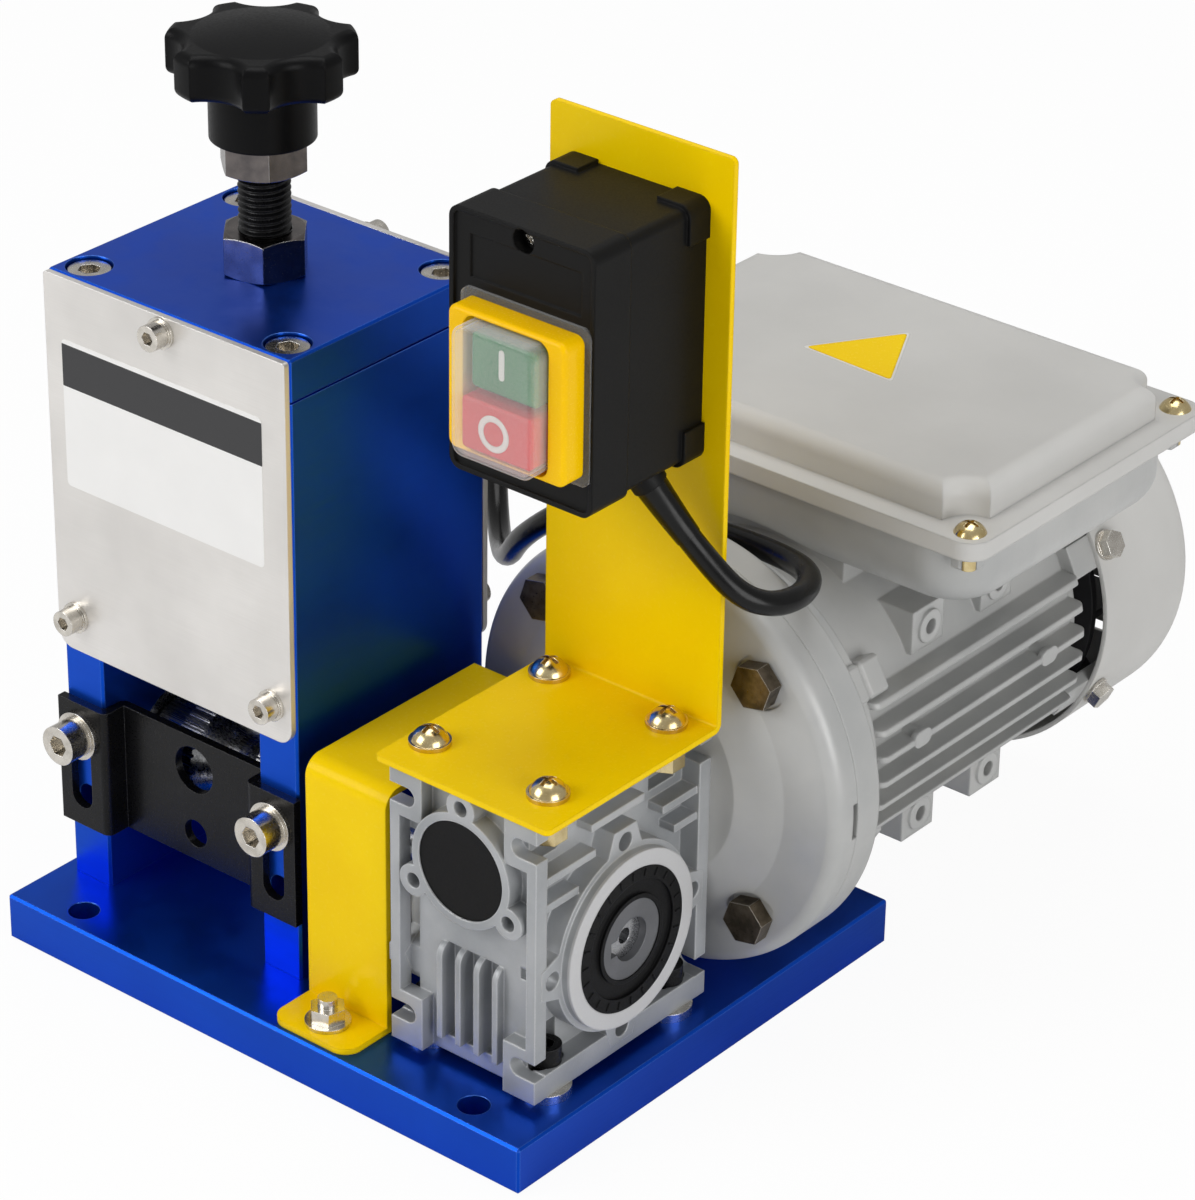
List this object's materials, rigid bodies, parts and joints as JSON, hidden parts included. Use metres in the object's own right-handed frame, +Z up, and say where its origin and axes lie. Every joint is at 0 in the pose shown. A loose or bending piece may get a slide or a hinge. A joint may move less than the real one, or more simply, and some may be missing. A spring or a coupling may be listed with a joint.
{
  "type": "wire stripping machine",
  "caption": "Bench wire stripping machine: blue aluminium head with a knob-set slitting blade over a driven feed roller, worm gearbox, finned motor, switch on a yellow bracket.",
  "frame": {"origin": "centre of the base plate's underside", "axes": "+X to the machine's right, +Y to its rear where the motor is, +Z up"},
  "size_m": [0.261, 0.311, 0.3033],
  "materials": {
    "blue_anodised": "blue anodised, satin",
    "stainless_sheet": "brushed stainless sheet",
    "zinc_steel": "zinc plated",
    "bright_steel": "bright zinc nut",
    "nickel_steel": "dull nickel plated",
    "black_steel": "black oxide",
    "ground_steel": "ground and hardened",
    "knob_plastic": "black thermoset",
    "yellow_paint": "yellow powder coat",
    "cast_aluminium": "shot blasted casting",
    "grey_paint": "light grey paint on aluminium",
    "grey_sheet": "light grey paint on steel sheet",
    "black_rubber": "oil resistant rubber",
    "bronze": "cast bronze",
    "iron": "machined iron",
    "lamination": "laminated core, enamelled wire",
    "nylon": "moulded nylon",
    "black_plastic": "textured black plastic",
    "yellow_plastic": "gloss yellow plastic",
    "green_plastic": "gloss green plastic",
    "red_plastic": "gloss red plastic",
    "clear_plastic": "clear flexible plastic",
    "white_plastic": "white plastic",
    "cable_sheath": "black cable sheath"
  },
  "bodies": {
    "machine_frame": {"base_plate": "blue_anodised", "head_left_plate": "blue_anodised", "head_right_plate": "blue_anodised", "head_top_block": "blue_anodised", "head_screws": "zinc_steel", "front_guard_plate": "stainless_sheet", "rear_guard_plate": "stainless_sheet", "guard_screws": "zinc_steel", "guide_screws": "zinc_steel", "carriage_rails": "ground_steel", "gearbox_housing": "cast_aluminium", "gearbox_side_cover": "cast_aluminium", "drive_bearings": "ground_steel", "gearbox_seals": "black_rubber", "foot_spacers": "zinc_steel", "gearbox_bolts": "black_steel", "shaft_cover": "yellow_paint", "cover_nut": "zinc_steel", "flange_adapter": "grey_paint", "flange_bolts": "nickel_steel", "motor_front_shield": "grey_paint", "motor_frame": "grey_paint", "stator": "lamination", "motor_bearings": "ground_steel", "motor_rear_shield": "grey_paint", "fan_cover": "grey_sheet", "fan_cover_screws": "zinc_steel", "terminal_box": "grey_paint", "terminal_box_lid": "grey_sheet", "terminal_lid_screws": "nickel_steel", "cable_glands": "black_plastic", "terminal_block": "white_plastic", "run_capacitor": "white_plastic", "switch_bracket": "yellow_paint", "bracket_screws": "zinc_steel", "switch_box": "black_plastic", "box_screw": "zinc_steel", "switch_bezel": "yellow_plastic", "clear_cap": "clear_plastic", "switch_core": "black_plastic", "switch_cable": "cable_sheath"},
    "motor_rotor": {"rotor": "ground_steel", "worm_shaft": "ground_steel", "cooling_fan": "nylon"},
    "feed_drive": {"worm_wheel_hub": "iron", "worm_wheel_rim": "bronze", "output_shaft": "ground_steel", "shaft_key": "ground_steel", "feed_roller": "ground_steel"},
    "carriage": {"blade_carriage": "black_steel", "blade_pin": "ground_steel", "screw_retainer": "ground_steel"},
    "blade": {"slitting_blade": "ground_steel"},
    "adjuster": {"adjusting_screw": "black_steel", "adjusting_knob": "knob_plastic", "knob_nut": "bright_steel"},
    "lock_nut": {"jam_nut": "bright_steel"},
    "wire_guide": {"guide_plate": "black_steel"},
    "start_key": {"start_button": "green_plastic"},
    "stop_key": {"stop_button": "red_plastic"}
  },
  "joints": [
    {"name": "rotor_spin", "type": "hinge", "parent": "machine_frame", "child": "motor_rotor", "pos_m": [0.0695, 0.05, 0.089], "axis": [0, 1, 0], "continuous": true},
    {"name": "feed_spin", "type": "hinge", "parent": "machine_frame", "child": "feed_drive", "pos_m": [0.0695, -0.033, 0.059], "axis": [1, 0, 0], "continuous": true},
    {"name": "blade_height", "type": "slide", "parent": "machine_frame", "child": "carriage", "axis": [0, 0, 1], "range_m": [-0.019, 0.01]},
    {"name": "blade_spin", "type": "hinge", "parent": "carriage", "child": "blade", "pos_m": [-0.0515, -0.033, 0.112], "axis": [1, 0, 0], "continuous": true},
    {"name": "knob_turn", "type": "hinge", "parent": "carriage", "child": "adjuster", "pos_m": [-0.0515, -0.023, 0.226], "axis": [0, 0, 1], "range_deg": [-3421, 1801]},
    {"name": "lock_nut_turn", "type": "hinge", "parent": "machine_frame", "child": "lock_nut", "pos_m": [-0.0515, -0.023, 0.233], "axis": [0, 0, 1], "range_deg": [0, 60]},
    {"name": "guide_height", "type": "slide", "parent": "machine_frame", "child": "wire_guide", "axis": [0, 0, 1], "range_m": [0, 0.018]},
    {"name": "start_press", "type": "slide", "parent": "machine_frame", "child": "start_key", "axis": [0, 1, 0], "range_m": [0, 0.003], "stiffness_N_per_m": 500, "springref_m": -0.001},
    {"name": "stop_press", "type": "slide", "parent": "machine_frame", "child": "stop_key", "axis": [0, 1, 0], "range_m": [0, 0.003], "stiffness_N_per_m": 500, "springref_m": -0.001}
  ],
  "couplings": [
    {"joint": "feed_spin", "follows": "rotor_spin", "ratio": -0.033333},
    {"joint": "knob_turn", "follows": "blade_height", "rad_per_m": 3141.6}
  ]
}
